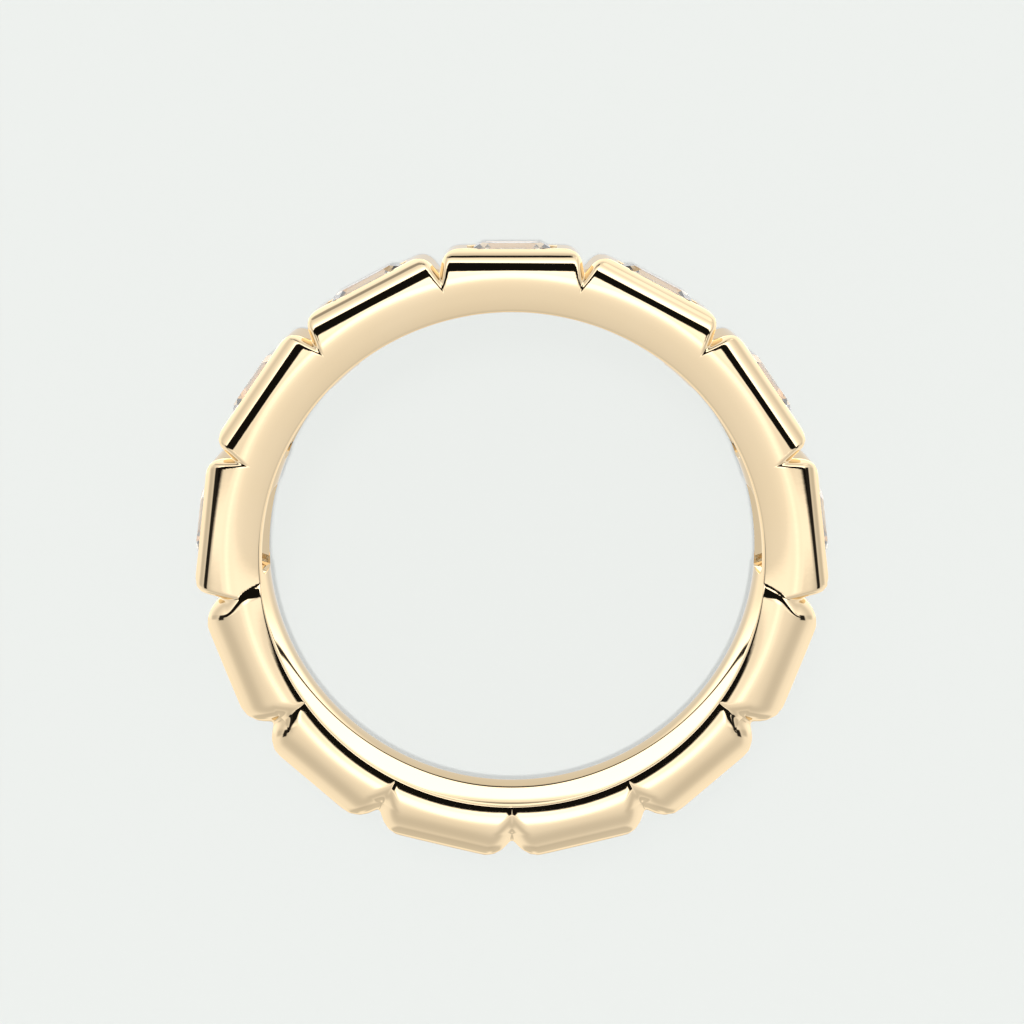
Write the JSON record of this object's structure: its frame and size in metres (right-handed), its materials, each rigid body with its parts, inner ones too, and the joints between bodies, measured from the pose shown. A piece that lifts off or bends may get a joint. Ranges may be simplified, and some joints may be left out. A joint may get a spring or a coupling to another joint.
{
  "type": "bezel half eternity band",
  "caption": "Polished yellow gold finger ring of oblong links, with clear step-cut stones set flush in the links of one half.",
  "frame": {"origin": "on the axis of the finger hole, midway between the two side faces; the ring lies on its side, so the surface under it is at Z = -1.45 mm", "axes": "+Z along the axis of the finger hole, up as the ring lies; +Y through the middle of the middle stone; +X along the band there, so the part is the same on both sides of X = 0"},
  "size_m": [0.0218, 0.0214, 0.003],
  "materials": {
    "gold": "polished pale yellow gold",
    "stone": "clear faceted stone, polished"
  },
  "bodies": {
    "root": {"band": "gold", "stone_1": "stone", "stone_2": "stone", "stone_3": "stone", "stone_4": "stone", "stone_5": "stone", "stone_6": "stone", "stone_7": "stone"}
  },
  "joints": []
}
